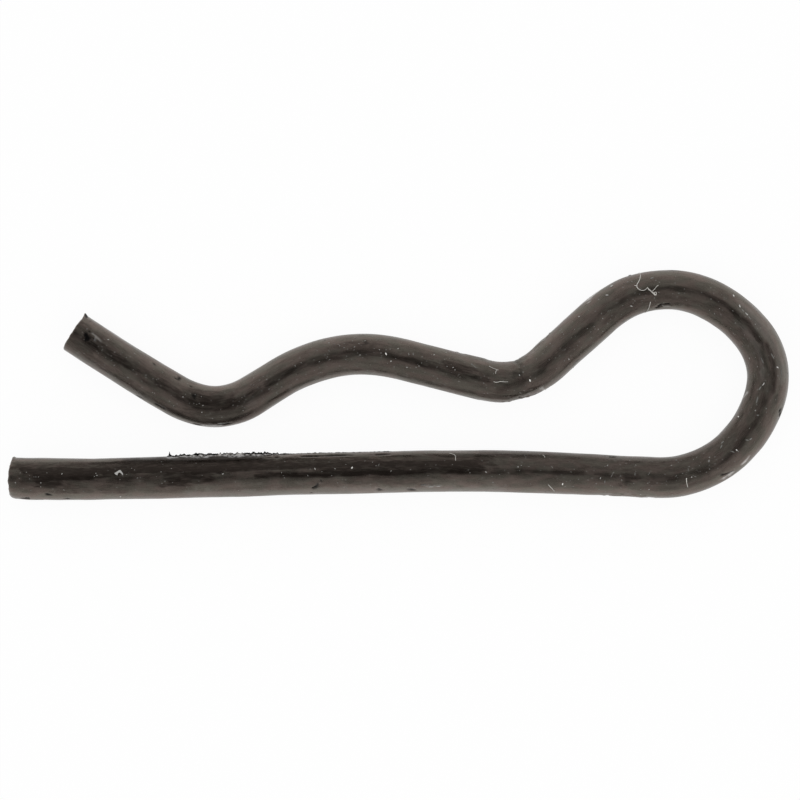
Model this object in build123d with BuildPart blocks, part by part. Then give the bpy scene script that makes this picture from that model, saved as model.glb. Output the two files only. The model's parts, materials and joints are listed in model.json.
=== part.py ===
from build123d import *
import os
from math import pi, radians, tan

# Hairpin cotter: one length of round spring wire, bent in one plane and cropped at both ends.
# It lies flat. Its straight leg runs along X, goes through the cross hole of a shaft and is held
# there by the waved leg, which snaps over the outside of the shaft.
# The origin is where the shaft's axis, +Z, crosses the leg's axis, under the crest of the wave.

# Wire
wire_diameter = 1.83

# Bend points, from the origin: each is where the straight runs on both sides of a bend would meet
# Straight leg, from its cropped end to the slight set before the eye
leg_end_x = -16.2
leg_set_x = 5.7
# Eye, a rounded triangle
heel_x = 15.35
heel_y = -0.67
back_x = 19.75
back_y = 3.5
crown_x = 14.6
crown_y = 10.15
# Waved leg, from the throat that closes the eye to the flared tip
throat_x = 7.15
throat_y = 3.6
crest_x = -0.95
crest_y = 6.0
pinch_x = -6.8
pinch_y = 2.6
tip_x = -13.08
tip_y = 6.72

# Bend radii, to the wire's centreline, and the most of a run that its two bends may use
leg_set_radius = 37.5
heel_radius = 4.8
back_radius = 3.6
crown_radius = 4.7
throat_radius = 3.35
crest_radius = 7.35
pinch_radius = 3.3
run_use_share = 0.985

# Cropped ends: how far the cut stands back from the end's furthest point, at its +Y side (upper),
# on the wire's axis and at its -Y side (lower), and the rounding of its rim
leg_upper_setback = 0.3
leg_axis_setback = 0.0
leg_lower_setback = 0.38
tip_upper_setback = 0.06
tip_axis_setback = 0.05
tip_lower_setback = 0.0
rim_radius = 0.09
crop_overrun = 0.15

wire_radius = wire_diameter / 2


def fitted_radii(points, radii):
    """The bend radii, each eased where two bends would need more than the run between them."""
    runs = [after - before for before, after in zip(points, points[1:])]
    turns = [radians(run.get_angle(following)) for run, following in zip(runs, runs[1:])]
    reaches = [0, *(radius * tan(turn / 2) for radius, turn in zip(radii, turns)), 0]
    room = [
        min(1, run_use_share * run.length / (start + stop))
        for run, start, stop in zip(runs, reaches, reaches[1:])
    ]
    return [radius * min(before, after) for radius, before, after in zip(radii, room, room[1:])]


leg_end = Vector(leg_end_x, 0)
tip_end = Vector(tip_x, tip_y)
bends = {
    "leg set": (Vector(leg_set_x, 0), leg_set_radius),
    "heel": (Vector(heel_x, heel_y), heel_radius),
    "back": (Vector(back_x, back_y), back_radius),
    "crown": (Vector(crown_x, crown_y), crown_radius),
    "throat": (Vector(throat_x, throat_y), throat_radius),
    "crest": (Vector(crest_x, crest_y), crest_radius),
    "pinch": (Vector(pinch_x, pinch_y), pinch_radius),
}
bend_points = [point for point, radius in bends.values()]
leg_outward = (leg_end - bend_points[0]).normalized()
tip_outward = (tip_end - bend_points[-1]).normalized()
# The wire is cut to length a little long, and its two ends are cropped after bending
route = [leg_end + leg_outward * crop_overrun, *bend_points, tip_end + tip_outward * crop_overrun]
radii = fitted_radii(route, [radius for point, radius in bends.values()])

with BuildPart() as cotter_pin:
    with BuildLine() as centreline:
        FilletPolyline(*route, radius=radii)
    with BuildSketch(Plane(route[0], z_dir=-leg_outward)):
        Circle(wire_radius)
    sweep(path=centreline.line)

    for end, outward, upper, axis, lower in (
        (leg_end, leg_outward, leg_upper_setback, leg_axis_setback, leg_lower_setback),
        (tip_end, tip_outward, tip_upper_setback, tip_axis_setback, tip_lower_setback),
    ):
        # The cut runs across the wire as a shallow curve and goes right through it along Z
        half_width = wire_radius + crop_overrun
        waste = crop_overrun * 2
        with BuildSketch(Plane(end, x_dir=outward, z_dir=(0, 0, 1))):
            with BuildLine():
                ThreePointArc((-lower, half_width), (-axis, 0), (-upper, -half_width))
                Polyline(
                    (-upper, -half_width),
                    (waste, -half_width),
                    (waste, half_width),
                    (-lower, half_width),
                )
            make_face()
        extrude(amount=half_width, both=True, mode=Mode.SUBTRACT)
        fillet(cotter_pin.faces().sort_by_distance(end)[0].edges(), rim_radius)

cotter_pin.part.label = "cotter_pin"
os.makedirs("parts", exist_ok=True)
export_step(cotter_pin.part, "parts/cotter_pin.step")

wire_length = sum(edge.length for edge in centreline.edges())
print("bend radii", dict(zip(bends, (round(radius, 2) for radius in radii))))
print("wire", round(wire_length, 2), "mm long before cropping")
print("volume", round(cotter_pin.part.volume, 2), "of", round(pi * wire_radius**2 * wire_length, 2))
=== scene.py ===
import bisect
import itertools
import json
import math
import random

import bmesh
import bpy
from mathutils import Matrix, Vector, kdtree, noise


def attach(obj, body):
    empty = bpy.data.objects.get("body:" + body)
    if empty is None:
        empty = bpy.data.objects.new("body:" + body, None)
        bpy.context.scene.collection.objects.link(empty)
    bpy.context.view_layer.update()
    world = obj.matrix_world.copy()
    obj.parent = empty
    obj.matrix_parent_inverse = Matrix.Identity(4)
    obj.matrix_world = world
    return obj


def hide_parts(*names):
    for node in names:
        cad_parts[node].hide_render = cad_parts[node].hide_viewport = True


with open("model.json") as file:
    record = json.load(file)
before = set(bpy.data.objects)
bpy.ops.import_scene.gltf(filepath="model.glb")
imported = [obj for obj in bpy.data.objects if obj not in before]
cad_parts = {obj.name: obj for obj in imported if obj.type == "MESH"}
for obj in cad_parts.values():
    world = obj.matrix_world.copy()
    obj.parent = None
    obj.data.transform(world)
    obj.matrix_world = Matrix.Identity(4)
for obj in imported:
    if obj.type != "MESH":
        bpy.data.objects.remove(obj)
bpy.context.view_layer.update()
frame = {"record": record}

mm = 0.001  # lengths below are in millimetres, and become metres when a mesh is bent to shape

# how the photograph frames the pin, which lies flat under the lens
photo = {
    "side": 800,
    "pixel": 0.045579,  # mm on the wire's plane
    "centre": (1.74, 3.27),  # the point of the wire's plane in the middle of the picture
    "tilt": math.radians(1.2409),  # the straight leg rises to the right by this much
    "focal": 150.0,
    "film": 36.0,
    "near": 5.0,  # mm from the lens, where its view begins
}
lensHeight = photo["side"] * photo["pixel"] * photo["focal"] / photo["film"]

# the wire's route, as corner points and the centreline radius of the bend at each
route = {
    "legEnd": (-16.2, 0.0),
    "bends": [
        ((5.7, 0.0), 37.5),  # slight set of the leg
        ((15.35, -0.67), 4.8),  # heel of the eye
        ((19.75, 3.5), 3.6),  # back of the eye
        ((14.6, 10.15), 4.7),  # crown of the eye
        ((7.15, 3.6), 3.35),  # throat
        ((-0.95, 6.0), 7.35),  # crest of the wave
        ((-6.8, 2.6), 3.3),  # pinch
    ],
    "tip": (-13.08, 6.72),
    # how far the bent wire wanders inwards from those runs and arcs: (drawn length, mm)
    "wander": [
        (0, 0.1), (1.2, 0.03), (2.5, 0), (4, -0.035), (10.5, -0.035), (14.5, 0), (18.5, 0),
        (21.5, -0.035), (24.5, 0), (28.5, 0.03), (31, 0), (33.3, -0.05), (35.4, 0.07), (37.8, -0.04),
        (41, 0.045), (43.8, -0.02), (45.5, -0.03), (46.5, 0.005), (50, 0), (52.5, 0.02), (53.6, -0.02),
        (54.5, 0.005), (57.5, 0.028), (60, 0), (62.5, 0.02), (66.3, 0.022), (67.6, -0.018), (69.6, 0.034),
        (72.5, 0.023), (73.8, 0),
    ],
    "sampleStep": 0.05,  # mm between the places where a pixel is looked up
}
legMount = next(mount for mount in frame["record"]["mounts"] if mount["name"] == "straight_leg")
wireRadius = legMount["dims"]["r_mm"]


def eased(value, low, high):
    # 0 below low, 1 above high and a smooth rise between, or the other way round if low is the larger
    share = max(0.0, min(1.0, (value - low) / (high - low)))
    return share * share * (3 - 2 * share)


def layOut():
    # straight runs and arcs in order: (drawn length at its start, length, start point, heading, turn)
    places, radii = zip(*route["bends"])
    corners = [Vector(place) for place in (route["legEnd"], *places, route["tip"])]
    pieces, drawn, here = [], 0.0, corners[0]
    for before, corner, after, radius in zip(corners, corners[1:], corners[2:], radii):
        inward, outward = (corner - before).normalized(), (after - corner).normalized()
        turn = math.atan2(inward.cross(outward), inward.dot(outward))
        start = corner - inward * radius * math.tan(abs(turn) / 2)
        heading = math.atan2(inward.y, inward.x)
        length = (start - here).length
        pieces.append((drawn, length, here, heading, 0.0))
        drawn += length
        pieces.append((drawn, radius * abs(turn), start, heading, turn))
        drawn += radius * abs(turn)
        here = corner + outward * radius * math.tan(abs(turn) / 2)
    last = corners[-1] - here
    pieces.append((drawn, last.length, here, math.atan2(last.y, last.x), 0.0))
    return pieces, drawn + last.length


layout, wireLength = layOut()


def onRoute(along):
    # point and heading of the centreline at a drawn length
    for begins, length, start, heading, turn in reversed(layout):
        if along >= begins or begins == 0.0:
            travel = along - begins
            if turn == 0.0:
                return start + Vector((math.cos(heading), math.sin(heading))) * travel, heading
            radius = length / turn  # negative on a right-hand bend
            angle = heading + travel / radius
            swing = Vector((math.sin(angle) - math.sin(heading), math.cos(heading) - math.cos(angle)))
            return start + swing * radius, angle


def drifted(stations, along):
    # a value that changes smoothly between the stations of a list: (drawn length, value)
    for (low, first), (high, last) in zip(stations, stations[1:]):
        if along <= high:
            return first + (last - first) * eased(along, low, high)
    return last


def bent(along, side, height):
    # a point of the straight wire, moved to where the bending takes it, in metres
    point, heading = onRoute(along)
    side += drifted(route["wander"], along)
    x = point.x - math.sin(heading) * side
    y = point.y + math.cos(heading) * side
    return Vector((x, y, height)) * mm


sampled = [step * route["sampleStep"] for step in range(int(wireLength / route["sampleStep"]) + 1)]
routeSamples = [(along, onRoute(along)) for along in sampled]


def fromPhoto(pixel):
    # the drawn length, and the angle round the wire from its top, of what the photograph shows at a pixel
    half = photo["side"] / 2
    across, up = (pixel[0] - half) * photo["pixel"], (half - pixel[1]) * photo["pixel"]
    c, s = math.cos(photo["tilt"]), math.sin(photo["tilt"])
    offCentre = Vector((across * c + up * s, up * c - across * s))
    turn = math.pi / 2  # at the first try, the spot is taken to be as high as the axis
    for attempt in range(2):
        # what is nearer to the lens looks further from the middle of the picture
        spot = Vector(photo["centre"]) + offCentre * (1 - wireRadius * math.cos(turn) / lensHeight)
        along, (point, heading) = min(routeSamples, key=lambda sample: (sample[1][0] - spot).length_squared)
        offset = spot - point
        along += offset.x * math.cos(heading) + offset.y * math.sin(heading)
        side = offset.y * math.cos(heading) - offset.x * math.sin(heading) - drifted(route["wander"], along)
        turn = math.asin(max(-1.0, min(1.0, side / wireRadius)))
    return along, turn


print("route laid out,", round(wireLength, 2), "mm of wire")

# the straight blank, before bending
blank = {
    "sides": 108,
    "rings": 740,
    "rim": 0.09,  # rounding of the cropped ends' rims
    "rimSteps": 4,
    "capRings": 9,
    "spacing": 0.02,  # mm between the places where the rings' closeness is looked up
    # from, to, and how much closer the rings lie there
    "closer": [(0, 1, 2), (6.9, 12.6, 2), (12.6, 17.5, 0.7), (48.5, 52.5, 1), (72.8, 73.8, 2)],
}


def extruded(bm, faces, way):
    # draws faces out to a closed body, and gives the points of its far end
    drawn = bmesh.ops.extrude_face_region(bm, geom=faces)["geom"]
    far = [item for item in drawn if isinstance(item, bmesh.types.BMVert)]
    bmesh.ops.translate(bm, verts=far, vec=way)
    return far


def drawBlank(bm):
    turned = Matrix.Rotation(math.radians(90), 4, "Y")
    bmesh.ops.create_circle(bm, cap_ends=True, segments=blank["sides"], radius=wireRadius, matrix=turned)
    extruded(bm, bm.faces[:], (wireLength, 0, 0))
    bmesh.ops.recalc_face_normals(bm, faces=bm.faces)
    rims = [e for e in bm.edges if abs(e.verts[0].co.x - e.verts[1].co.x) < wireRadius]
    bmesh.ops.bevel(
        bm, geom=rims, offset=blank["rim"], offset_type="OFFSET", segments=blank["rimSteps"],
        profile=0.5, affect="EDGES", material=-1,
    )
    lengthwise = [e for e in bm.edges if abs(e.verts[0].co.x - e.verts[1].co.x) > wireRadius]
    bmesh.ops.subdivide_edges(bm, edges=lengthwise, cuts=blank["rings"])
    spaceRings(bm)
    step = (wireRadius - blank["rim"]) / (blank["capRings"] + 1)
    for cap in [f for f in bm.faces if len(f.verts) > 4]:
        for ring in range(blank["capRings"]):
            bmesh.ops.inset_region(bm, faces=[cap], thickness=step, use_even_offset=True)


def spaceRings(bm):
    # crowds the rings where there is more to show
    step, rim = blank["spacing"], blank["rim"]
    steps = int(wireLength / step) + 1
    weights = []
    for k in range(steps):
        weights.append(1 + sum(w for low, high, w in blank["closer"] if low <= k * step <= high))
    reached = [0.0, *itertools.accumulate(weights)]
    for v in bm.verts:
        share = (v.co.x - rim) / (wireLength - 2 * rim)
        if 0 < share < 1:
            k = bisect.bisect_right(reached, share * reached[-1]) - 1
            part = k + (share * reached[-1] - reached[k]) / weights[k]
            v.co.x = rim + part / steps * (wireLength - 2 * rim)


# how the drawn and rolled surface runs: (stretch along the wire, size across it, depth, shift of its noise)
surface = {
    "lumps": (3.5, 0.8, 0.028, 0),
    "drawLines": (8.0, 0.25, 0.0044, 40),
    "hammering": (1.5, 0.35, 0.004, 80),
}
# how much stouter than its nominal size the wire is, by drawn length, in mm
girth = [
    (0, 0.02), (1, 0.035), (21.5, 0.035), (26.4, 0.035), (28.2, -0.015), (29.8, 0.018), (35, 0.025),
    (36.5, 0.045), (38.8, 0.038), (41, 0.015), (44.5, -0.018), (46, 0.01), (47.5, 0.042), (50, 0.025),
    (51.5, -0.02), (53, 0.025), (61, 0.02), (63.4, -0.005), (65, 0.02), (69, 0.032), (73.8, 0.025),
]


def roughen(v, blankAt):
    radial = Vector((0, blankAt.y, blankAt.z))
    reach = radial.length / wireRadius
    for stretch, size, depth, shift in surface.values():
        place = Vector((blankAt.x / (stretch * size), blankAt.y / size, blankAt.z / size + shift))
        v.co += radial / wireRadius * depth * reach * noise.noise(place)
    v.co += radial / wireRadius * drifted(girth, blankAt.x)


# the cropped ends, in mm: how the cut falls back as the square of the side offset, inwards and outwards of
# the axis, and on it; the corner that the blade rolled over, (reach, depth); the corner that it left as a
# burr, (reach, lift, stretch)
ends = {
    "leg": {"cut": (0.22, -0.03, 0.1), "rolledSide": -1, "roll": (0.3, 0.1), "burr": (0.16, 0.13, 0.0)},
    "tip": {"cut": (-0.05, 0.015, 0.05), "rolledSide": 1, "roll": (0.14, 0.05), "burr": (0.16, 0.14, 0.05)},
    "cutReach": 1.1,
    # how rough the cut's face is
    "tearing": {"depth": 0.03, "across": 4, "up": 1.2, "finePace": 9, "fineShare": 0.5},
    "rollStarts": (0.25, 1.0),  # the shares of the radius between which the corners come up
    "burrStarts": (0.72, 0.98),
    "burrHeight": (0.75, 0.5, 4, 7),  # its mean and scatter, and its noise's pace and shift
}


def cropEnd(v, blankAt, end):
    atLeg = end is ends["leg"]
    inward = blankAt.x if atLeg else wireLength - blankAt.x
    if inward > ends["cutReach"]:
        return
    outward = -1 if atLeg else 1
    across = blankAt.y / wireRadius
    inner, outer, level = end["cut"]
    setback = level + (inner if across > 0 else outer) * blankAt.y ** 2
    tearing = ends["tearing"]
    tear = noise.noise(Vector((blankAt.y * tearing["across"], blankAt.z * tearing["up"], outward)))
    tear += tearing["fineShare"] * noise.noise(blankAt * tearing["finePace"])
    setback += tearing["depth"] * tear
    reach, depth = end["roll"]
    towards = across * end["rolledSide"]
    rolled = depth * eased(towards, *ends["rollStarts"]) * max(0.0, 1 - inward / reach) ** 2
    reach, lift, stretch = end["burr"]
    burr = eased(-towards, *ends["burrStarts"]) * max(0.0, 1 - inward / reach) ** 2
    mean, scatter, pace, shift = ends["burrHeight"]
    burr *= mean + scatter * noise.noise(Vector((blankAt.z * pace, shift, outward)))
    v.co.x -= outward * setback * (1 - eased(inward, 0, ends["cutReach"]))
    v.co.x += outward * stretch * burr
    v.co.y -= end["rolledSide"] * (rolled + lift * burr)


# marks of making and use, by the photograph's pixels: from, to, half width in mm, rise of the surface in mm,
# how much darker the place is painted (painted shade in pits, nicks, creases, rims and the burr; dirt where
# so named) and how much paler (scrapes, smears and chips; painted reflections and a painted glint at the
# flanks' edges)
marks = {
    "throatCrease": ((513, 360), (520, 365), 0.22, -0.03, 0.2, 0),
    "throatToolSpot": ((514, 374), (520, 375.5), 0.14, -0.02, 0.3, 0),
    "throatToolEdge": ((521, 370), (523, 380), 0.07, -0.02, 0.35, 0),
    "throatFlatLeft": ((486, 402), (503, 403), 0.55, -0.025, 0, 0),
    "throatFlatMiddle": ((522, 400.5), (514, 402.5), 0.4, -0.075, 0, 0),
    "throatFlatRight": ((536, 393), (550, 386), 0.6, -0.02, 0, 0),
    "throatFullLeft": ((468, 354), (484, 358), 0.4, 0.035, 0, 0),
    "throatFullRight": ((522, 356), (540, 342.5), 0.45, 0.04, 0, 0),
    # painted highlight: a glint on the throat's lower flank, painted pale
    "throatGlint": ((541, 388.6), (546, 390.6), 0.07, 0, 0, 0.5),
    # painted reflection of the white table along the throat's lower edge, painted pale
    "throatEdgeReflection": ((528, 395), (512, 398.5), 0.18, 0, 0, 0.12),
    "heelBulge": ((616, 498), (640, 499), 0.5, 0.05, 0, 0),
    "eyeNickHeel": ((658, 307.5), (661, 305), 0.1, -0.08, 1.0, 0),
    "eyeNick": ((661, 304.8), (670, 304.2), 0.085, -0.08, 1.0, 0),
    "eyeNickLip": ((662.5, 306.3), (669, 306.1), 0.055, 0.02, 0, 0.42),
    # lighter bands along the eye's outer run, painted paler
    "eyeLighterBand": ((742, 307.5), (765, 332.5), 0.32, 0, 0, 0.07),
    "eyeLighterBandBack": ((767, 336), (781, 378), 0.3, 0, 0, 0.06),
    "eyeStripe": ((735, 320), (752, 338), 0.14, 0, 0, 0.05),
    "eyeStripeBack": ((752, 338), (762.5, 379), 0.16, 0, 0, 0.06),
    # painted reflection of the white table along the wave's inner edge, painted pale
    "waveEdgeReflection": ((451.5, 390), (294.5, 389.5), 0.22, 0, 0, 0.06),
    "waveSmear": ((246, 406), (255, 402), 0.14, 0, 0, 0.04),
    "crestDirt": ((364, 341), (367, 344), 0.09, -0.01, 0.5, 0),
    "crestDirtLow": ((359, 352), (361, 353), 0.07, -0.01, 0.6, 0),
    # painted reflection of the white table along the tip's lower edge, painted pale
    "tipEdgeReflection": ((146, 397), (79, 355.5), 0.22, 0, 0, 0.05),
    "eyeBackTick": ((779.4, 410), (779.2, 416), 0.09, -0.05, 1.0, 0),
    "eyeBackShade": ((775.5, 395), (775.5, 402), 0.12, -0.01, 0.3, 0),
    "eyeRimPatch": ((745, 397), (747.5, 393), 0.08, 0, 0, 0.6),
    "pinchRim": ((195, 423.4), (228, 423), 0.085, -0.03, 1.0, 0),
    "pinchRimChip": ((203, 425), (220, 425.2), 0.13, 0.015, 0, 0.85),
    "pinchPit": ((194, 395), (196, 395), 0.12, -0.04, 0.9, 0),
    "tipSpot": ((86, 335), (87.5, 338.5), 0.17, -0.05, 1.0, 0),
    "tipBurr": ((85.3, 315.2), (84.4, 317.2), 0.1, 0, 0.9, 0),
    "tipScratch": ((92.5, 333.5), (100.5, 341), 0.05, -0.01, 0, 0.3),
    "legPit": ((313, 487.3), (316.5, 486), 0.1, -0.05, 0.95, 0),
    "legPitRight": ((379, 489), (381, 489), 0.1, -0.04, 0.8, 0),
    "legPitFar": ((410, 489), (413, 489), 0.1, -0.04, 0.8, 0),
    "legEndPitLow": ((22, 498), (28, 498), 0.1, -0.03, 0.9, 0),
    "legEndPitMid": ((39, 499), (43, 499), 0.1, -0.03, 0.9, 0),
    "legEndPitUp": ((47, 494), (50, 494), 0.07, -0.02, 0.9, 0),
    "legEndPitRight": ((66, 498), (69, 498), 0.08, -0.02, 0.9, 0),
    "heelPit": ((626, 477), (627, 481), 0.2, -0.03, 0.35, 0),
    "heelGouge": ((724, 478), (732, 473.5), 0.13, -0.06, 0, 0.75),
    "heelGougeRim": ((722, 475), (731, 471.8), 0.06, -0.02, 0.8, 0),
    "eyeSmear": ((743, 463), (748, 457), 0.09, 0.01, 0, 0.75),
    "crownRim": ((671, 270), (678, 270.6), 0.06, -0.02, 0.8, 0),
    "crownSmear": ((590, 299.5), (597.5, 292.5), 0.13, 0.01, 0, 0.85),
    "legSmear": ((428, 486), (440, 485), 0.08, 0.01, 0, 0.2),
    # painted reflection of the white table along the leg's lower edge, painted pale
    "legEdgeReflection": ((190, 493.5), (500, 489), 0.32, 0, 0, 0.06),
    "tipDint": ((137, 395), (142, 397), 0.08, -0.02, 0.9, 0),
    "tipDintRight": ((157, 404), (162, 407), 0.09, -0.02, 0.9, 0),
    "tipNickUp": ((153, 364), (155, 365), 0.06, -0.02, 0.9, 0),
    "tipNickRight": ((176, 379), (180, 378), 0.07, -0.02, 0.9, 0),
}
# how ragged the marks' edges are, as (pace, share) of two noises, and how fast their colour comes up
markEdges = {"coarse": (4, 0.8), "fine": (11, 0.7), "colour": 1.6}


def makeMarks(bm, straight, scaleDirtAndShade, pale):
    coarsePace, coarseShare = markEdges["coarse"]
    finePace, fineShare = markEdges["fine"]
    bins = {}
    for v in bm.verts:
        bins.setdefault(int(v[straight].x), []).append(v)
    for start, stop, width, rise, dark, light in marks.values():
        a, b = (Vector((along, turn * wireRadius)) for along, turn in map(fromPhoto, (start, stop)))
        low, high = sorted((a.x, b.x))
        for v in itertools.chain(*(bins.get(k, ()) for k in range(int(low - width), int(high + width) + 1))):
            at = v[straight]
            if at.yz.length < wireRadius - blank["rim"]:
                continue  # on an end's face
            place = Vector((at.x, math.atan2(at.y, at.z) * wireRadius))
            share = max(0.0, min(1.0, (place - a).dot(b - a) / (b - a).length_squared))
            away = (place - a.lerp(b, share)).length / width
            away *= 1 + coarseShare * noise.noise(at * coarsePace) + fineShare * noise.noise(at * finePace)
            if away < 1:
                strength = (1 - away * away) ** 2
                colour = min(1.0, markEdges["colour"] * strength)
                v.co += Vector((0, at.y, at.z)).normalized() * rise * strength
                # darker: painted shade in pits, nicks, creases, rims and the burr, and dirt; paler: scrapes,
                # smears and chips, and painted reflections and a painted glint
                v[scaleDirtAndShade] = max(v[scaleDirtAndShade], dark * colour)
                v[pale] = max(v[pale], light * colour)


def layered(layers, along, across=1.0):
    # noises laid over each other: (pace along, pace across, seed, share)
    total = 0.0
    for pace, crossPace, seed, share in layers:
        total += share * noise.noise(Vector((along * pace, across * crossPace, seed)))
    return total


def faded(along, first, last, fades):
    # 1 within a stretch and 0 outside it, with a smooth rise and fall at its ends
    (riseFrom, riseTo), (fallTo, fallFrom) = fades
    return eased(along, first + riseFrom, first + riseTo) * eased(along, last + fallTo, last + fallFrom)


# a seam of the drawn wire that has torn open on the leg's inner flank, with a pale band and dark flecks along
# the tear, and runs on as a closed lap whose gap is painted dark as shade
seam = {
    "torn": ((163, 455), (279, 455)),
    "tornFades": ((-0.2, 0.4), (0.3, -0.8)),  # mm from its two ends
    "angle": math.radians(84),
    "spread": (math.radians(20), math.radians(7)),  # above and below that angle
    "spreadMean": 0.8,
    "spreadNoise": ((1.3, 3, 3, 0.7), (4, 9, 3, 0.4)),
    "coarseNoise": ((2.2, 3, 1, 1),),
    "fineNoise": ((6, 7, 2, 1), (13, 11, 4, 0.8)),
    "coarseShare": 0.4,
    "height": 0.035,
    "heightMean": 0.4,
    "tallest": 1.4,
    "growth": (2, 2.5, 3),  # how fast height, the pale band and the dark flecks come up from the band's edge
    "seamPaleLevels": (-0.45, 0.05),  # of the noise, between which the band is painted pale
    "darkFleckLevels": (-0.3, -0.7),
    "lap": ((270, 456), (392, 458)),
    "lapFades": ((-0.3, 0.3), (0.1, -0.3)),
    "lapAngle": math.radians(58),
    "lapWander": ((0.9, 5, 5, 0.08),),
    "lapWidth": 0.09,
    "lapDepth": 0.04,
    "lapNoise": ((0.9, 8, 1, 1), (5, 8, 6, 0.5)),
    "lapLevels": (-0.35, 0.3),
    "margin": 1.0,  # mm beyond the seam's ends, past which no point is looked at
}


def openSeam(bm, straight, scaleDirtAndShade, seamPaleness):
    tornFrom, tornTo = (fromPhoto(pixel)[0] for pixel in seam["torn"])
    lapFrom, lapTo = (fromPhoto(pixel)[0] for pixel in seam["lap"])
    above, below = seam["spread"]
    heightGrowth, seamPaleGrowth, darkFleckGrowth = seam["growth"]
    for v in bm.verts:
        at = v[straight]
        if not tornFrom - seam["margin"] < at.x < lapTo + seam["margin"]:
            continue
        turn = math.atan2(at.y, at.z)
        radial = Vector((0, at.y, at.z)).normalized()
        stretch = faded(at.x, tornFrom, tornTo, seam["tornFades"])
        spread = above if turn < seam["angle"] else below
        spread *= seam["spreadMean"] + layered(seam["spreadNoise"], at.x)
        band = max(0.0, stretch - abs(turn - seam["angle"]) / spread)
        if band > 0:
            coarse = seam["coarseShare"] * layered(seam["coarseNoise"], at.x, turn)
            fine = layered(seam["fineNoise"], at.x, turn)
            lip = min(seam["tallest"], max(0.0, seam["heightMean"] + coarse + fine))
            v.co += radial * seam["height"] * stretch * min(1.0, band * heightGrowth) * lip
            seamPaleShare = min(1.0, band * seamPaleGrowth) * eased(fine + coarse, *seam["seamPaleLevels"])
            dark = min(1.0, band * darkFleckGrowth) * eased(fine + coarse, *seam["darkFleckLevels"])
            v[seamPaleness] = max(v[seamPaleness], stretch * seamPaleShare)
            v[scaleDirtAndShade] = max(v[scaleDirtAndShade], stretch * dark)
        lap = faded(at.x, lapFrom, lapTo, seam["lapFades"])
        wander = seam["lapAngle"] + layered(seam["lapWander"], at.x)
        away = abs(turn - wander) * wireRadius / seam["lapWidth"]
        if lap > 0 and away < 1:
            gaping = lap * (1 - away) * eased(layered(seam["lapNoise"], at.x), *seam["lapLevels"])
            v.co -= radial * seam["lapDepth"] * gaping
            # painted shade: the lap's gap is painted dark
            v[scaleDirtAndShade] = max(v[scaleDirtAndShade], gaping)
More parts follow.
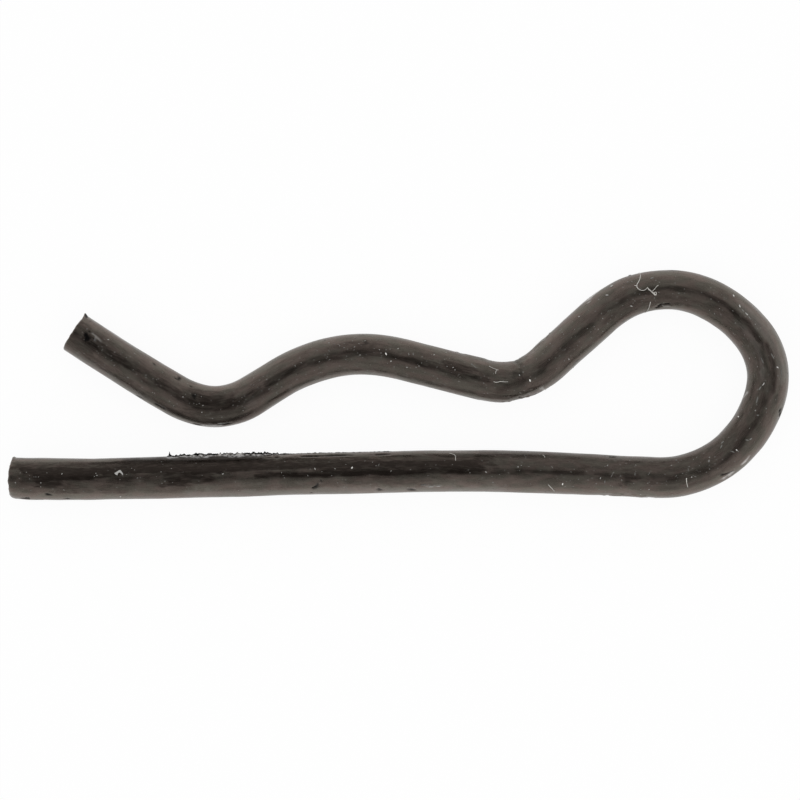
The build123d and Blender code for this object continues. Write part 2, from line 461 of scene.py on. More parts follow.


# where the black scale has stayed on the wire's upper side, with painted shade on the leg's flank that faces
# the wave and a painted dark reflection streak along the middle of the top: from and to by drawn length, the
# inner and the outer limit as shares of the radius, and how much of it is left
scaleShadeAndReflectionPatches = {
    "leg": [
        (0.8, 1.5, 0.4, -0.3, 0.5), (1.5, 2.2, 0.45, -0.35, 0.95), (2.2, 2.9, 0.1, -0.3, 0.4),
        (2.4, 3.7, -0.3, -0.6, 0.5), (2.3, 3.7, 0.45, 0, 0.95), (4.2, 4.9, 0.4, 0.15, 0.85),
        (4.3, 5.6, -0.3, -0.65, 0.45), (4.9, 7.1, 0.55, 0.35, 0.85), (5.1, 5.9, 0.05, -0.1, 0.5),
        (7.1, 8.2, 0.05, -0.35, 0.75), (8.2, 9.2, 0.08, -0.22, 0.75), (7.1, 8.7, 0.7, 0.15, 0.75),
        (8.4, 9.9, 0.42, 0.18, 1), (9.9, 12.1, 0.46, 0.34, 0.8), (11.3, 15.1, 0.05, -0.08, 0.85),
        (12.3, 14.4, 0.5, 0.34, 0.8), (14.4, 19, 0.48, 0.1, 0.75), (15.4, 18.9, 0.04, -0.08, 1),
        (15.4, 19.2, -0.25, -0.48, 0.42), (19, 21.4, 0.42, -0.06, 0.85), (20.3, 20.8, 0.06, 0, 1),
        (5.4, 11.8, 0.95, 0.45, 0.85), (11.8, 17, 0.66, 0.45, 0.72), (21.3, 22.1, 0.7, 0.3, 0.7),
        (0.9, 21.3, 0.5, 0.32, 0.95), (0.3, 5.4, 0.78, 0.5, 0.6), (17, 21.5, 0.7, 0.45, 0.5),
        (0.3, 8, 0.6, -0.6, 0.3), (8, 21.8, 0.6, -0.3, 0.25),
    ],
    "heel": [
        (21.9, 22.8, 0.12, -0.08, 0.55), (23, 26.2, 0.08, 0, 0.55), (26.8, 28.6, 0.06, 0, 0.5),
        (28.05, 28.4, -0.1, -0.3, 0.5), (29.2, 30.2, 0.04, -0.04, 0.35), (30.1, 31.6, -0.06, -0.2, 0.42),
        (29, 31.7, -0.15, -0.55, 0.38), (21.6, 31, 0.95, 0.3, 0.42), (21.6, 31, 0.3, -0.8, 0.2),
    ],
    "eye": [
        (31.6, 32.2, -0.1, -0.24, 0.3), (32.2, 34, 0.02, -0.12, 0.35), (34.2, 37, 0, -0.1, 0.35),
        (36.6, 38.6, -0.15, -0.28, 0.6), (38.6, 39.9, -0.04, -0.14, 0.45), (40.3, 42.1, 0, -0.12, 0.6),
        (42.2, 44.2, -0.02, -0.1, 0.55), (44.3, 45.4, -0.06, -0.14, 0.5), (45.7, 47.1, 0.06, -0.04, 0.45),
        (47.5, 49, 0.1, 0.02, 0.18), (49, 51.2, 0.14, 0.04, 0.35), (31, 39, 0.98, 0.25, 0.38),
        (31, 39, -0.5, -0.98, 0.2), (39, 47, 0.65, 0.34, 0.42), (39, 47, -0.45, -0.8, 0.16),
    ],
    "wave": [
        (51.65, 51.9, -0.1, -0.3, 0.35), (52, 52.9, 0.55, 0.25, 0.4), (53.4, 54.4, 0.04, -0.1, 0.6),
        (53.3, 53.8, -0.22, -0.3, 0.5), (54.2, 55.4, -0.16, -0.42, 0.7), (55.7, 56.9, 0.06, -0.22, 0.6),
        (57, 58.1, 0.08, -0.06, 0.6), (58.1, 59.6, 0.04, -0.24, 0.45), (58.6, 60.2, -0.32, -0.6, 0.48),
        (59.7, 62.4, 0.08, -0.16, 0.5), (62.5, 63.6, 0.02, -0.2, 0.6), (64.1, 65.3, 0.26, -0.12, 0.55),
        (51.4, 55.4, -0.2, -0.95, 0.3), (55.5, 65.3, -0.22, -0.8, 0.3), (62.8, 65.3, 0.95, 0.75, 0.15),
    ],
    "tip": [
        (65.4, 67.3, 0.2, -0.5, 0.68), (66, 66.9, -0.06, -0.42, 0.9), (67.5, 68.3, -0.08, -0.3, 0.6),
        (68.1, 69.1, 0, -0.34, 0.62), (68.8, 70.7, -0.04, -0.34, 0.5), (70.9, 73, 0.04, -0.24, 0.72),
        (72.4, 73.8, 0.8, -0.6, 0.5), (65.6, 68.4, 0.76, 0.62, 0.5), (68.4, 73.8, 0.8, 0.5, 0.4),
        (67.5, 73.8, -0.22, -0.9, 0.32), (65.3, 67.8, 0.6, -0.7, 0.52), (71.2, 73.6, -0.2, -0.6, 0.45),
    ],
    "softness": (0.4, 0.14),  # mm along the wire, share of the radius across it
    "wander": (0.35, 0.07),  # how far their edges stray, likewise
    "pace": (0.8, 2.4),  # how many wanders to the millimetre, along and across
    "finer": (2.3, 0.7),  # a second wander's pace over the first's, and its share across
    "shift": (0, 0, 30),  # between the noises that stray across and along
    "turnUnder": (-0.6, -0.08),  # the heights, in radii, between which the upper side's patches give way
    "turnWander": 0.2,
    "margin": 2,  # mm beyond its ends within which a patch is looked up
}


def paintScaleShadeAndReflection(bm, straight, scaleShadeAndReflection):
    patches = {}
    for patch in itertools.chain(*(scaleShadeAndReflectionPatches[name] for name in ("leg", "heel", "eye", "wave", "tip"))):
        for k in range(int(patch[0]) - scaleShadeAndReflectionPatches["margin"], int(patch[1]) + scaleShadeAndReflectionPatches["margin"] + 1):
            patches.setdefault(k, []).append(patch)
    softAlong, softAcross = scaleShadeAndReflectionPatches["softness"]
    driftAlong, driftAcross = scaleShadeAndReflectionPatches["wander"]
    paceAlong, paceAcross = scaleShadeAndReflectionPatches["pace"]
    finer, fineShare = scaleShadeAndReflectionPatches["finer"]

    def left(along, side):
        most = 0.0
        for start, stop, inner, outer, share in patches.get(int(along), ()):
            past = max(start - along, along - stop, 0) / softAlong
            beside = max(side - inner, outer - side, 0) / softAcross
            most = max(most, share * (1 - eased(math.hypot(past, beside), 0, 1)))
        return most

    for v in bm.verts:
        at = v[straight]
        place = Vector((at.x * paceAlong, at.y * paceAcross, at.z * paceAcross))
        aside = place + Vector(scaleShadeAndReflectionPatches["shift"])
        along = at.x + driftAlong * (noise.noise(aside) + noise.noise(aside * finer))
        side = at.y / wireRadius + driftAcross * (noise.noise(place) + fineShare * noise.noise(place * finer))
        # the underside, which the table hides, wears the same patches from the other end
        upper = eased(at.z / wireRadius + scaleShadeAndReflectionPatches["turnWander"] * noise.noise(aside), *scaleShadeAndReflectionPatches["turnUnder"])
        v[scaleShadeAndReflection] = upper * left(along, side) + (1 - upper) * left(wireLength - along, side)


def makeWire():
    bm = bmesh.new()
    layers = bm.verts.layers
    straight = layers.float_vector.new("straight")
    scaleDirtAndShade, pale, seamPaleness, scaleShadeAndReflection = (layers.float.new(name) for name in ("scaleDirtAndShade", "pale", "seamPaleness", "scaleShadeAndReflection"))
    drawBlank(bm)
    for v in bm.verts:
        v[straight] = v.co
    for v in bm.verts:
        blankAt = v[straight].copy()
        roughen(v, blankAt)
        for end in (ends["leg"], ends["tip"]):
            cropEnd(v, blankAt, end)
    openSeam(bm, straight, scaleDirtAndShade, seamPaleness)
    makeMarks(bm, straight, scaleDirtAndShade, pale)
    paintScaleShadeAndReflection(bm, straight, scaleShadeAndReflection)
    skin = [(v[straight].copy(), v.co.yz.length) for v in bm.verts]
    for v in bm.verts:
        v.co = bent(*v.co)
    return solidObject("cotterWire", bm, smooth=True), skin


def meshObject(name, bm):
    mesh = bpy.data.meshes.new(name)
    bm.to_mesh(mesh)
    bm.free()
    made = bpy.data.objects.new(name, mesh)
    bpy.context.scene.collection.objects.link(made)
    return made


def solidObject(name, bm, smooth=False):
    bmesh.ops.recalc_face_normals(bm, faces=bm.faces)
    for f in bm.faces:
        f.smooth = smooth
    return meshObject(name, bm)


# the skin is where each point of the blank was, and how far from the axis it is now
cotterWire, skinRadii = makeWire()
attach(cotterWire, "root")
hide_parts("cotter_pin")
print("wire bent,", len(cotterWire.data.polygons), "faces")

skinTree = kdtree.KDTree(len(skinRadii))
for index, (place, radius) in enumerate(skinRadii):
    skinTree.insert(place, index)
skinTree.balance()


def onSkin(along, turn, lift):
    # a point on the finished surface, or a little above it, and the way out of it there
    across, up = math.sin(turn), math.cos(turn)
    found, index, distance = skinTree.find(Vector((along, across * wireRadius, up * wireRadius)))
    radius = skinRadii[index][1] + lift
    point = bent(along, across * radius, up * radius)
    return point, (bent(along, across * (radius + 1), up * (radius + 1)) - point).normalized()


# the sliver that has torn loose along the seam, by drawn length: how far its edge stands off the wire, how
# much of its width is still black, and how ragged it is
sliver = {
    "edge": [
        (7.2, -0.02), (7.35, 0.05), (8.3, 0.085), (8.64, 0.125), (9.6, 0.11), (10.8, 0.1), (11.3, 0.1),
        (11.9, 0.1), (12.5, 0.03), (13.4, 0.005), (14.3, 0.02), (15.6, 0.005), (16.6, 0.015), (17.4, 0.02),
        (17.7, -0.03),
    ],
    "black": [
        (7.2, 0), (7.34, 1), (7.46, 1), (7.54, 0.35), (7.8, 0.5), (8.3, 0.45), (8.42, 0.15),
        (8.64, 0.65), (8.8, 0.3), (9.1, 0.5), (9.5, 0.5), (9.65, 0.1), (9.9, 0.45), (10.1, 0.1),
        (10.4, 0.4), (10.6, 0.1), (11, 0.5), (11.9, 0.55), (12.4, 0.3), (13, 0.15), (15.4, 0.2),
        (16, 0.9), (17.7, 1),
    ],
    "ragged": [(7.2, 1), (12.2, 1), (13, 0.5), (17.7, 0.25)],
    "root": -0.05,
    "turn": math.radians(80),
    "thickness": 0.03,
    "jags": ((5, 0.6, 5, 0.03), (11, 0.6, 11, 0.05), (24, 0.6, 24, 0.035)),
    "flecks": ((8, 2.5, 3, 1), (19, 3, 5, 0.7)),
    "spike": (7.4, 0.05, 0.15),  # drawn length, half width, reach
    "steps": 640,
    "rows": 8,
    "blackEdge": (0.2, 0.08),  # how far the flecks move the edge of the black, and how soft it is
    "pale": (0.75, 1.3),  # the tone of the rest, and how far the flecks change it
}


def tearSliver():
    bm = bmesh.new()
    straight = bm.verts.layers.float_vector.new("straight")
    scaleDirtAndShade, pale = (bm.verts.layers.float.new(name) for name in ("scaleDirtAndShade", "pale"))
    bmesh.ops.create_grid(bm, x_segments=sliver["steps"], y_segments=sliver["rows"], size=0.5)
    first, last = sliver["edge"][0][0], sliver["edge"][-1][0]
    spikeAt, spikeWidth, reach = sliver["spike"]
    stray, soft = sliver["blackEdge"]
    tone, scatter = sliver["pale"]
    for v in bm.verts:
        along, outer = first + (v.co.x + 0.5) * (last - first), v.co.y + 0.5
        jags = layered(sliver["jags"], along, outer) * drifted(sliver["ragged"], along)
        spike = reach * max(0.0, 1 - abs(along - spikeAt) / spikeWidth)
        edge = drifted(sliver["edge"], along) + jags + spike
        fleck = layered(sliver["flecks"], along, outer)
        cap = 1 - drifted(sliver["black"], along)
        black = eased(outer + stray * fleck, cap - soft, cap + soft)
        v[straight] = (along, wireRadius, outer)
        v[scaleDirtAndShade] = black
        v[pale] = (1 - black) * max(0.0, min(1.0, tone + scatter * fleck))
        v.co = onSkin(along, sliver["turn"], sliver["root"] + (edge - sliver["root"]) * outer)[0]
    extruded(bm, bm.faces[:], (0, 0, -sliver["thickness"] * mm))
    return solidObject("seamSliver", bm)


seamSliver = tearSliver()
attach(seamSliver, "root")
print("sliver torn,", len(seamSliver.data.polygons), "faces")

# dust on the wire, by the photograph's pixels: specks in groups from bright to faint, streaks with their half
# width and tone, one of them a painted glint, and how many specks more are strewn on each stretch
dust = {
    "bright": [
        (352, 468), (530, 380.5), (386, 354), (562.5, 483.5), (733.2, 296), (739, 417),
    ],
    "clear": [
        (120.5, 496), (736.5, 450), (691.5, 477), (777, 367.5), (747, 314.8), (631.5, 306), (568.5, 359),
        (315, 469),
    ],
    "plain": [
        (335, 469), (376, 466), (223, 474), (97, 475.5), (126.5, 495.5), (26.5, 472.5), (391, 471),
        (486, 472), (493, 482), (518, 467), (621.5, 480), (453, 367.5), (455, 370), (459, 381), (355, 338),
        (365, 341), (359, 344), (360, 355), (329, 343), (398, 349), (391, 361), (407, 367), (419, 366),
        (434, 355), (446, 353), (714.5, 313.5), (763, 385), (695.5, 476.5), (600.5, 478), (62, 474),
        (15.5, 482.5), (108, 340), (130, 357), (202, 412), (183, 397), (41, 482.5), (682, 306), (743, 346),
        (750, 358), (734, 333), (742.5, 410), (755.5, 410.5), (766, 408.5), (709.5, 457.5), (640.5, 494.5),
        (671.5, 465.5), (649, 489.5), (607.5, 465.5), (602.5, 331), (602.5, 318.5), (598, 329),
        (579.5, 317), (676.5, 460.5), (519.5, 375),
    ],
    "faint": [
        (354, 350), (386, 350), (425, 372), (437, 367), (325, 355), (706, 446), (675, 283), (758, 366.5),
        (775.5, 389.5), (757, 404.5), (761, 337), (729, 437.5), (697, 457.5), (715, 457), (620.5, 476),
        (619, 478), (605, 466.5), (678.5, 462.5), (649.5, 473), (607, 493), (610.5, 319), (571, 318.5),
        (578, 310.5), (583, 309), (623, 287.5), (624, 283.5), (627.5, 282), (632, 281.5), (656, 280),
        (654.5, 298), (564.5, 325), (629, 317.5), (47, 473), (137.5, 478), (117, 487), (83.5, 491),
        (53, 488.5), (64, 489.5), (31, 490), (101, 491), (36, 477), (165, 481), (97, 351), (105, 364),
        (445, 384), (413, 380), (582, 377), (562, 330), (541, 336), (524, 366), (523, 372), (525.5, 385.5),
        (571, 472), (573, 486), (672, 494), (594, 470.5), (34, 477), (38.5, 477), (751, 341), (635, 293),
        (601.5, 313.5), (594, 326.5), (621, 280.5), (595.5, 311.5), (616.5, 303), (560, 348.5),
        (550.5, 344), (94.5, 476.5), (96, 473.5), (387.5, 363), (390, 349.5), (421.5, 363), (422, 357),
        (455, 353.5), (447, 366.5), (437.5, 378), (444.5, 359.5), (471.5, 364.5), (325, 340), (354.5, 347),
        (372.5, 337.5), (345, 368.5), (319.5, 367.5), (375, 369.5), (579, 328.5), (580.5, 354.5),
        (586, 345), (564, 360.5), (568, 365.5), (553, 336.5), (547, 347), (536.5, 359), (259.5, 380),
        (251, 385), (279, 379.5), (269, 389), (233, 401),
    ],
    "streaks": [
        ((764.8, 382.4), (763, 385.6), 0.03, 0.75), ((762, 386), (759, 390.5), 0.035, 0.31),
        ((758.6, 396), (756.6, 404), 0.04, 0.25), ((770.4, 353), (774, 359.5), 0.035, 0.25),
        ((761, 357), (764, 364), 0.03, 0.19), ((780.5, 369), (780.6, 376), 0.03, 0.22),
        ((756.4, 415.4), (759.2, 415.2), 0.03, 0.31), ((745, 439.8), (749, 440.2), 0.03, 0.31),
        ((749, 440), (752, 437.8), 0.035, 0.37), ((724.4, 441.2), (721, 444), 0.035, 0.37),
        ((722.6, 444.6), (720.4, 449), 0.035, 0.31), ((709.4, 459.6), (708.6, 462.6), 0.045, 0.37),
        ((730, 451), (735, 452.4), 0.03, 0.25), ((635, 472), (635, 476), 0.025, 0.22),
        ((605, 480), (604.4, 483.4), 0.03, 0.25), ((688, 467.6), (688.4, 472), 0.025, 0.22),
        ((741.4, 309.4), (744, 312), 0.02, 0.45), ((744.6, 312.4), (747.6, 315), 0.026, 0.6),
        ((748, 316), (750.6, 320), 0.02, 0.4), ((614.2, 471), (610.4, 478), 0.018, 0.42),
        ((739, 304.6), (740, 308), 0.035, 0.85), ((732.4, 294.8), (734, 297.4), 0.035, 0.9),
        ((605.4, 295.4), (609, 295.3), 0.03, 0.75), ((610.4, 287.4), (613.2, 285.6), 0.04, 0.9),
        ((650, 278.2), (654, 277.4), 0.035, 0.4), ((628.3, 276), (631, 274.6), 0.04, 0.6),
        ((608, 456.6), (617, 456.4), 0.04, 0.28), ((408.6, 352.8), (408.9, 356), 0.02, 0.4),
        ((413, 352.6), (413.2, 356), 0.02, 0.35), ((470.5, 363), (477, 369), 0.02, 0.3),
        # the streak from (572, 365) to (580, 358.4) is a painted glint along the throat's lower edge
        ((572, 365), (580, 358.4), 0.02, 0.45), ((428, 486), (434, 485.6), 0.03, 0.6),
        ((436, 485.4), (441, 485.4), 0.028, 0.65), ((420, 484.5), (427, 484), 0.03, 0.25),
        ((378, 466.5), (379.5, 464), 0.02, 0.25),
    ],
    # smallest and largest size in mm, dimmest and brightest tone
    "brightRange": (0.038, 0.046, 0.95, 1.0),
    "clearRange": (0.032, 0.038, 0.6, 0.75),
    "plainRange": (0.02, 0.032, 0.38, 0.62),
    "faintRange": (0.016, 0.026, 0.22, 0.42),
    "strewnRange": (0.012, 0.02, 0.25, 0.5),
    "strewn": [(0.4, 22, 120), (22, 47, 300), (47, 73.4, 340)],
    "strewnReach": 0.97,  # how far down the flanks, as a share of the radius
    "streakTone": 0.8,
    # a speck's and a streak's shape, as shares of its size or half width
    "speckLift": 0.25,
    "speckLength": (0.9, 2.0),
    "speckWidth": (0.6, 1.0),
    "streakLift": 0.3,
    "thickness": 0.5,
    "seed": 11,
}


def settleDust():
    bm = bmesh.new()
    tone = bm.verts.layers.float.new("tone")
    chance = random.Random(dust["seed"])

    def flake(place, lie, sizes, shade):
        matrix = Matrix.Translation(place) @ lie @ Matrix.Diagonal((*(Vector(sizes) * mm), 1))
        for v in bmesh.ops.create_icosphere(bm, subdivisions=1, radius=1, matrix=matrix)["verts"]:
            v[tone] = shade

    def speck(along, turn, size, shade):
        place, out = onSkin(along, turn, size * dust["speckLift"])
        spin = Matrix.Rotation(chance.uniform(0, math.tau), 4, "Z")
        lie = out.to_track_quat("Z", "X").to_matrix().to_4x4() @ spin
        length = size * chance.uniform(*dust["speckLength"])
        width = size * chance.uniform(*dust["speckWidth"])
        flake(place, lie, (length, width, size * dust["thickness"]), shade)

    def streak(start, stop, width, shade):
        lift = width * dust["streakLift"]
        (first, out), (last, out) = (onSkin(*fromPhoto(pixel), lift) for pixel in (start, stop))
        lengthwise = (last - first).normalized()
        sideways = out.cross(lengthwise).normalized()
        lie = Matrix((lengthwise, sideways, lengthwise.cross(sideways))).transposed().to_4x4()
        sizes = ((last - first).length / 2 / mm, width, width * dust["thickness"])
        flake((first + last) / 2, lie, sizes, shade)

    def sizeAndShade(group):
        small, big, dim, bright = dust[group + "Range"]
        return chance.uniform(small, big), chance.uniform(dim, bright)

    for group in ("bright", "clear", "plain", "faint"):
        for pixel in dust[group]:
            speck(*fromPhoto(pixel), *sizeAndShade(group))
    for start, stop, width, shade in dust["streaks"]:
        streak(start, stop, width, shade * dust["streakTone"])
    for first, last, count in dust["strewn"]:
        for one in range(count):
            turn = math.asin(chance.uniform(-dust["strewnReach"], dust["strewnReach"]))
            speck(chance.uniform(first, last), turn, *sizeAndShade("strewn"))
    chipOff(bm, tone)
    return solidObject("dustSpecks", bm)


# a chip of grey scale, bent to a chevron, that lies on the leg
chip = {
    "outline": [
        (114.4, 473.4), (116.2, 472.4), (119, 470.7), (120.3, 470.2), (121.2, 471.2), (123.4, 474.4),
        (122.7, 475.1), (120.5, 472.9), (119.3, 472.7), (118, 473.6), (117.5, 475.5), (115.7, 474.7),
    ],
    "lift": 0.01,
    "thickness": 0.025,
    "shade": 0.6,
}


def chipOff(bm, tone):
    rim = [bm.verts.new(onSkin(*fromPhoto(pixel), chip["lift"])[0]) for pixel in chip["outline"]]
    plate = bm.faces.new(rim)
    top = extruded(bm, [plate], (0, 0, chip["thickness"] * mm))
    for v in rim + top:
        v[tone] = chip["shade"]


dustSpecks = settleDust()
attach(dustSpecks, "root")
print("dust settled,", len(dustSpecks.data.polygons), "faces")

# lint on the wire, and one pale strand that is a painted glint: each fibre's path by the photograph's pixels,
# its thickness and how far it stands off, mm
lint = {
    "crownCurl": (
        [(639, 272.6), (640.6, 274), (640.3, 278), (639, 281.4), (637, 284.4), (636.6, 287), (639, 289.6),
         (642.5, 290.7), (645.5, 289.8), (647.2, 288)],
        0.032, 0.03,
    ),
    "crownCurlTail": ([(634.4, 285.6), (635.8, 285.5), (637.2, 286.2)], 0.024, 0.02),
    "crownTwist": ([(647.2, 287.4), (649.2, 289.6), (652, 292), (654, 293.2), (656.2, 295)], 0.045, 0.05),
    "crownTwistBack": ([(648, 289), (651, 291.4), (654, 294), (655, 295.4)], 0.036, 0.08),
    "crownBranch": ([(652.4, 291), (655, 289), (656.4, 286.4), (658.4, 285)], 0.024, 0.06),
    "crownHook": ([(654, 292.6), (655.8, 291.6), (656.6, 293.2), (656, 295)], 0.03, 0.07),
    "eyeHair": ([(650.5, 301.8), (649.4, 306), (647.6, 309.7), (645.6, 312)], 0.032, 0.03),
    "throatFork": ([(489, 366.7), (492, 368.6), (495.6, 370.1), (498.4, 370.6)], 0.026, 0.03),
    "throatForkStem": ([(496.6, 370.4), (495.6, 372.1), (495.6, 373.8)], 0.026, 0.03),
    "throatHair": (
        [(493.6, 381.6), (496.1, 382.7), (500.2, 381.3), (504.3, 382), (507.9, 381.8)], 0.026, 0.02,
    ),
    # painted highlight: a pale strand on the throat's lower flank, standing for a glint
    "throatGlintStrand": ([(540.5, 388.2), (543.5, 389), (546.5, 390.8)], 0.035, 0.02),
    "legArc": ([(449.2, 453.8), (453.3, 454.8), (455.8, 456.8), (455.3, 459.4), (455.8, 461)], 0.024, 0.03),
    "legHair": ([(548.2, 483.9), (551.2, 486.6), (554.3, 490)], 0.03, 0.03),
    "legLoop": ([(542.6, 456), (544.4, 456.6), (544.8, 458.4)], 0.022, 0.03),
    "heelHair": ([(686.3, 478), (686.2, 482), (687.5, 486.6)], 0.036, 0.03),
}
strand = {"steps": 6, "sides": 2, "order": 3}


def layFibre(bm, pixels, thickness, lift):
    curve = bpy.data.curves.new("strand", "CURVE")
    curve.dimensions = "3D"
    curve.bevel_depth = thickness / 2 * mm
    curve.bevel_resolution = strand["sides"]
    curve.resolution_u = strand["steps"]
    curve.use_fill_caps = True
    spline = curve.splines.new("NURBS")
    spline.points.add(len(pixels) - 1)
    for point, pixel in zip(spline.points, pixels):
        atEnd = pixel in (pixels[0], pixels[-1])
        place, out = onSkin(*fromPhoto(pixel), thickness / 2 if atEnd else lift)
        point.co = (*place, 1)
    spline.order_u = strand["order"]
    spline.use_endpoint_u = True
    holder = bpy.data.objects.new("strand", curve)
    mesh = bpy.data.meshes.new_from_object(holder)
    bm.from_mesh(mesh)
    bpy.data.objects.remove(holder)
    bpy.data.curves.remove(curve)
    bpy.data.meshes.remove(mesh)


def layLint():
    bm = bmesh.new()
    for fibre in lint.values():
        layFibre(bm, *fibre)
    return solidObject("lintFibres", bm, smooth=True)


lintFibres = layLint()
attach(lintFibres, "root")
print("lint laid,", len(lintFibres.data.polygons), "faces")


class Signal:
    # a node's output that takes part in plain arithmetic
    def __init__(self, tree, socket=None):
        self.tree, self.socket = tree, socket

    def make(self, kind, inputs=None, settings=None, out=0):
        node = self.tree.nodes.new(kind)
        for name, value in (settings or {}).items():
            setattr(node, name, value)
        for name, value in (inputs or {}).items():
            if isinstance(value, Signal):
                self.tree.links.new(value.socket, node.inputs[name])
            else:
                node.inputs[name].default_value = value
        return Signal(self.tree, node.outputs[out] if node.outputs else None)

    def maths(self, operation, first, second):
        return self.make("ShaderNodeMath", {0: first, 1: second}, {"operation": operation})

    def __add__(self, other):
        return self.maths("ADD", self, other)

    __radd__ = __add__

    def __rsub__(self, other):
        return self.maths("SUBTRACT", other, self)

    def __mul__(self, other):
        return self.maths("MULTIPLY", self, other)

    __rmul__ = __mul__

    def __pow__(self, other):
        return self.maths("POWER", self, other)


def newMaterial(name):
    material = bpy.data.materials.new(name)
    material.use_nodes = True
    material.node_tree.nodes.clear()
    return material, Signal(material.node_tree)


def finishMaterial(start, shader):
    start.make("ShaderNodeOutputMaterial", {"Surface": shader})


def ramped(start, value, low, high, bottom=0.0, top=1.0):
    inputs = {"Value": value, "From Min": low, "From Max": high, "To Min": bottom, "To Max": top}
    return start.make("ShaderNodeMapRange", inputs, {"interpolation_type": "SMOOTHSTEP"})


def mixed(start, factor, first, second):
    return start.make("ShaderNodeMix", {0: factor, 6: first, 7: second}, {"data_type": "RGBA"}, out=2)


def painted(start, name, out="Fac"):
    return start.make("ShaderNodeAttribute", None, {"attribute_name": name}, out)


def lightPath(start, kind):
    return start.make("ShaderNodeLightPath", out=f"Is {kind} Ray")


# black oxide over steel: dark scale, rubbed brown and olive where it has worn; painted shade and a painted
# dark reflection keep it black in places, and painted reflections and glints make it pale in places
blackFinish = {
    "black": (0.036, 0.0272, 0.0225, 1),
    "brown": (0.2, 0.161, 0.139, 1),
    "olive": (0.179, 0.161, 0.135, 1),
    # near black: the sliver's black scale, dirt, and painted shade in pits, nicks, creases, rims and the
    # lap's gap
    "scaleDirtAndShade": (0.006, 0.0052, 0.005, 1),
    # pale: scrapes, smears, chips and the sliver, and painted reflections and glints
    "pale": (0.62, 0.6, 0.58, 1),
    # the pale band along the torn seam
    "seamPaleColour": (0.62, 0.61, 0.61, 1),
    # the mottling: stretch along the wire, size across it in mm, detail, roughness, shift
    "clouds": {
        "large": (3.0, 1.4, 1.0, 0.4, 0),
        "small": (3.5, 0.3, 1.0, 0.4, 23),
        "tints": (2.4, 1.6, 1.0, 0.4, 17),
        "streaks": (16.0, 0.14, 2.0, 0.5, 31),
        "grain": (1.5, 0.08, 2.0, 0.5, 47),
        "flecks": (1.8, 0.14, 2.0, 0.6, 53),
        "blotches": (4.5, 0.4, 1.0, 0.5, 61),
    },
    "tintLevels": (0.36, 0.64),
    "blotchLevels": (0.4, 0.6),
    # what takes the rubbed colour away: the levels between which it sets in, and how much it takes
    "large": (0.34, 0.66, 0.28),
    "small": (0.4, 0.6, 0.08),
    "streaks": (0.4, 0.68, 0.09),
    "flecks": (0.56, 0.7, 0.6),
    # the kept scale, painted shade and painted dark reflection, which keep the black colour
    "scaleShadeAndReflection": (0.06, 1.0, 0.95),
    "inner": (-wireRadius, wireRadius, 0.16),  # painted shade: the side towards the inside of the bends, which faces the wire's other runs, is kept darker
    "blotching": (0.84, 0.32),  # the least of the kept scale, painted shade and dark reflection, and how much more the blotches leave
    "roughness": (0.24, 0.44),
    "roughnessLevels": (0.25, 0.75),
    "roughnessShares": (0.5, 0.3, 0.2),  # streaks, large patches, grain
    "dirtRoughness": 0.3,
    "metallic": 0.85,
    "seamPaleDulling": 0.7,
    "relief": 0.006,  # mm
    "reliefShares": (0.55, 0.3, 0.12),  # streaks, grain, small patches
    "bump": 0.7,
}


def blackenedSteel():
    material, start = newMaterial("blackenedSteel")
    straight = painted(start, "straight", "Vector")
    side = start.make("ShaderNodeSeparateXYZ", {0: straight}, out="Y")

    def cloud(name):
        stretch, size, detail, roughness, shift = blackFinish["clouds"][name]
        inputs = {0: straight, 1: (1 / (stretch * size), 1 / size, 1 / size), 2: (shift, shift, shift)}
        place = start.make("ShaderNodeVectorMath", inputs, {"operation": "MULTIPLY_ADD"})
        inputs = {"Vector": place, "Detail": detail, "Roughness": roughness}
        return start.make("ShaderNodeTexNoise", inputs)

    scaleDirtAndShade, pale, seamPaleness, scaleShadeAndReflection = (painted(start, name) for name in ("scaleDirtAndShade", "pale", "seamPaleness", "scaleShadeAndReflection"))
    tints = ramped(start, cloud("tints"), *blackFinish["tintLevels"])
    blotches = ramped(start, cloud("blotches"), *blackFinish["blotchLevels"])
    streaks, grain = cloud("streaks"), cloud("grain")
    least, more = blackFinish["blotching"]
    covers = {
        "large": cloud("large"),
        "small": cloud("small"),
        "streaks": streaks,
        "flecks": cloud("flecks"),
        "scaleShadeAndReflection": scaleShadeAndReflection * (least + more * blotches),
        # painted shade on the side towards the inside of the bends
        "inner": side,
    }
    shown, worn = {}, 1.0
    for name, value in covers.items():
        low, high, share = blackFinish[name]
        shown[name] = ramped(start, value, low, high)
        worn = worn * (1 - share * shown[name])
    large, small = shown["large"], shown["small"]
    rubbed = mixed(start, tints, blackFinish["brown"], blackFinish["olive"])
    colour = mixed(start, worn, blackFinish["black"], rubbed)
    colour = mixed(start, scaleDirtAndShade, colour, blackFinish["scaleDirtAndShade"])
    colour = mixed(start, seamPaleness, colour, blackFinish["seamPaleColour"])
    colour = mixed(start, pale, colour, blackFinish["pale"])
    low, high = blackFinish["roughness"]
    ofStreaks, ofLarge, ofGrain = blackFinish["roughnessShares"]
    polish = streaks * ofStreaks + large * ofLarge + grain * ofGrain
    roughness = ramped(start, polish, *blackFinish["roughnessLevels"], high, low)
    ofStreaks, ofGrain, ofSmall = blackFinish["reliefShares"]
    relief = streaks * ofStreaks + grain * ofGrain + small * ofSmall
    inputs = {"Strength": blackFinish["bump"], "Distance": blackFinish["relief"] * mm, "Height": relief}
    bump = start.make("ShaderNodeBump", inputs)
    inputs = {
        "Base Color": colour,
        "Metallic": blackFinish["metallic"] * (1 - pale) * (1 - blackFinish["seamPaleDulling"] * seamPaleness),
        "Roughness": roughness + (scaleDirtAndShade + pale) * blackFinish["dirtRoughness"],
        "Normal": bump,
    }
    finishMaterial(start, start.make("ShaderNodeBsdfPrincipled", inputs))
    return material


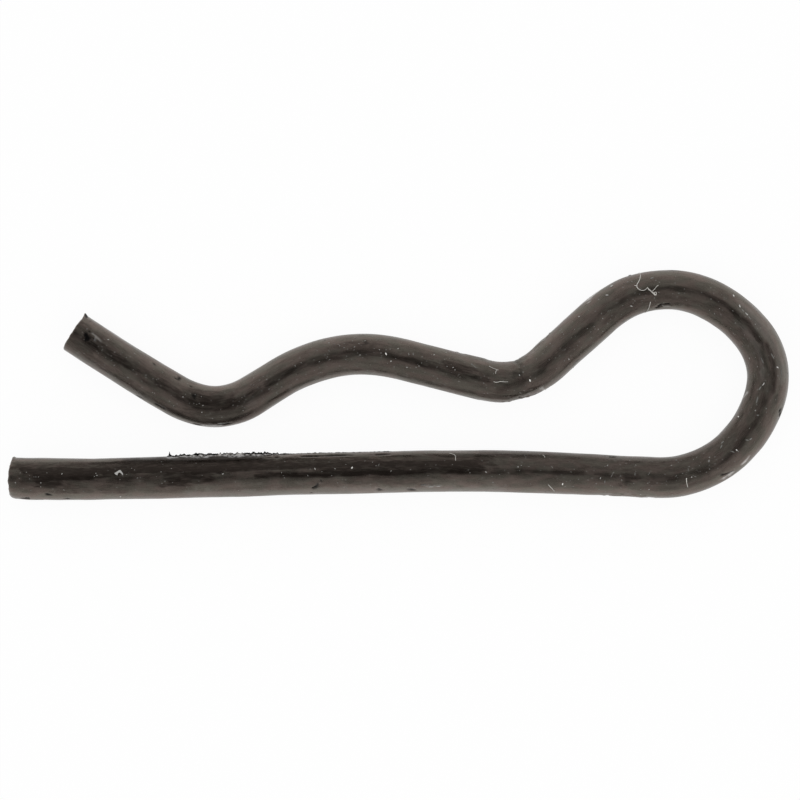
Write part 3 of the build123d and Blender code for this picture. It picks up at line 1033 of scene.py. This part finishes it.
dustFinish = {
    "dull": (0.07, 0.066, 0.06, 1),
    "bright": (0.75, 0.74, 0.71, 1),
    "contrast": 1.5,
    "roughness": 0.9,
}
lintFinish = {
    "clean": (0.62, 0.6, 0.56, 1),
    "mottles": 4.0,  # to the millimetre
    "detail": 2.0,
    "levels": (0.3, 0.7),
    "dirtiest": 0.45,
    "roughness": 0.8,
}


def matt(start, colour, roughness):
    return start.make("ShaderNodeBsdfPrincipled", {"Base Color": colour, "Roughness": roughness})


def greyDust():
    material, start = newMaterial("greyDust")
    tone = painted(start, "tone") ** dustFinish["contrast"]
    colour = mixed(start, tone, dustFinish["dull"], dustFinish["bright"])
    finishMaterial(start, matt(start, colour, dustFinish["roughness"]))
    return material


def cottonLint():
    material, start = newMaterial("cottonLint")
    inputs = {
        "Vector": start.make("ShaderNodeTexCoord", out="Object"),
        "Scale": lintFinish["mottles"] / mm,
        "Detail": lintFinish["detail"],
    }
    mottle = start.make("ShaderNodeTexNoise", inputs)
    dirt = ramped(start, mottle, *lintFinish["levels"], 0.0, lintFinish["dirtiest"])
    colour = mixed(start, dirt, lintFinish["clean"], dustFinish["dull"])
    finishMaterial(start, matt(start, colour, lintFinish["roughness"]))
    return material


blackenedWire = blackenedSteel()
cotterWire.data.materials.append(blackenedWire)
seamSliver.data.materials.append(blackenedWire)
dustSpecks.data.materials.append(greyDust())
lintFibres.data.materials.append(cottonLint())
print("finishes made")

# a white table in a white tent that is open above, round the lens
studio = {
    "table": 600.0,
    "tablePaint": (0.9, 0.9, 0.9, 1),
    "tableGlow": 0.94,
    "white": (1, 1, 1, 1),
    "opening": (0.975, 0.86),  # the cosines between which the tent begins
    "overhead": 0.05,
    "tentTop": 0.26,
    "tentRise": 0.42,
}


def whiteTable():
    bm = bmesh.new()
    bmesh.ops.create_grid(bm, x_segments=1, y_segments=1, size=studio["table"] * mm)
    lowest = min(v.co.z for v in cotterWire.data.vertices)
    bmesh.ops.translate(bm, verts=bm.verts, vec=(0, 0, lowest))
    table = meshObject("whiteTable", bm)
    material, start = newMaterial("whiteTable")
    seen, mirrored, through = (lightPath(start, kind) for kind in ("Camera", "Glossy", "Transmission"))
    paint = start.make("ShaderNodeBsdfDiffuse", {"Color": studio["tablePaint"]})
    glow = start.make("ShaderNodeEmission", {"Color": studio["white"], "Strength": 1.0})
    share = (seen + mirrored + through) * studio["tableGlow"]
    finishMaterial(start, start.make("ShaderNodeMixShader", {0: share, 1: paint, 2: glow}))
    table.data.materials.append(material)


def whiteTent():
    world = bpy.data.worlds.new("whiteTent")
    bpy.context.scene.world = world
    world.use_nodes = True
    world.node_tree.nodes.clear()
    start = Signal(world.node_tree)
    direction = start.make("ShaderNodeTexCoord", out="Generated")
    up = start.make("ShaderNodeSeparateXYZ", {0: direction}, out="Z")
    mirrored, through = (lightPath(start, kind) for kind in ("Glossy", "Transmission"))
    height = start.maths("MAXIMUM", up, 0.0)
    wall = studio["overhead"] + studio["tentRise"] * (1 - height)
    wall = wall + ramped(start, height, *studio["opening"], 0.0, studio["tentTop"])
    strength = 1 - (mirrored + through) * (1 - wall)
    light = start.make("ShaderNodeBackground", {"Color": studio["white"], "Strength": strength})
    start.make("ShaderNodeOutputWorld", {"Surface": light})


def overheadCamera():
    data = bpy.data.cameras.new("overheadCamera")
    data.lens, data.sensor_width = photo["focal"], photo["film"]
    camera = bpy.data.objects.new("overheadCamera", data)
    bpy.context.scene.collection.objects.link(camera)
    x, y = photo["centre"]
    camera.location = Vector((x, y, lensHeight)) * mm
    camera.rotation_euler = (0, 0, -photo["tilt"])
    data.clip_start = photo["near"] * mm
    bpy.context.scene.camera = camera


whiteTable()
whiteTent()
overheadCamera()
bpy.context.scene.view_settings.view_transform = "Standard"
print("studio set")
